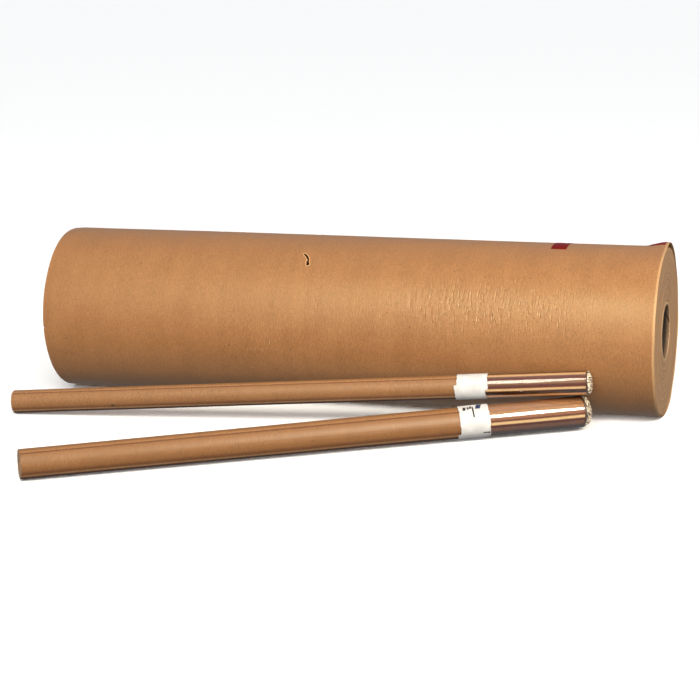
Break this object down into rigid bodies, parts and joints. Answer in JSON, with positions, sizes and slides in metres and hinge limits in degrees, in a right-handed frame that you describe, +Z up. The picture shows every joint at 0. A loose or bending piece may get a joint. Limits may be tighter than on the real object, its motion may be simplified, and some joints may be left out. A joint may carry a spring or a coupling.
{
  "type": "kraft paper roll bundle",
  "caption": "Counter roll of brown kraft paper on a cardboard core, with two slim film-wrapped kraft rolls banded by white labels leaning against it.",
  "frame": {"origin": "on the floor under the middle of the counter roll, at its bottom facet", "axes": "+X along the counter roll towards its open right end, +Z up, -Y towards the slim rolls"},
  "size_m": [0.9124, 0.6725, 0.2433],
  "materials": {
    "kraft": "machine-glazed brown kraft",
    "kraft_end": "cut paper edges, matt",
    "board": "spiral-wound grey-brown board",
    "tape": "glossy red adhesive tape",
    "film": "clear glossy wrapping film",
    "label": "white paper band"
  },
  "bodies": {
    "counter_roll": {"core_tube": "board", "wound_paper": "kraft_end", "outer_wrap": "kraft"},
    "tail": {"paper_tail": "kraft", "tape_tab_middle": "tape", "tape_tab_end": "tape"},
    "slim_roll_back": {"slim_back_paper": "kraft", "slim_back_film": "film", "slim_back_label": "label"},
    "slim_roll_front": {"slim_front_paper": "kraft", "slim_front_film": "film", "slim_front_label": "label"}
  },
  "joints": [
    {"name": "tail_peel", "type": "hinge", "parent": "counter_roll", "child": "tail", "pos_m": [0, 0.11456, 0.15612], "axis": [-1, 0, 0], "range_deg": [0, 75]},
    {"name": "slim_back_lift", "type": "slide", "parent": "counter_roll", "child": "slim_roll_back", "axis": [0, -0.8575, 0.5145], "range_m": [0, 0.3]},
    {"name": "slim_front_draw", "type": "slide", "parent": "counter_roll", "child": "slim_roll_front", "axis": [0, -1, 0], "range_m": [0, 0.25]}
  ]
}
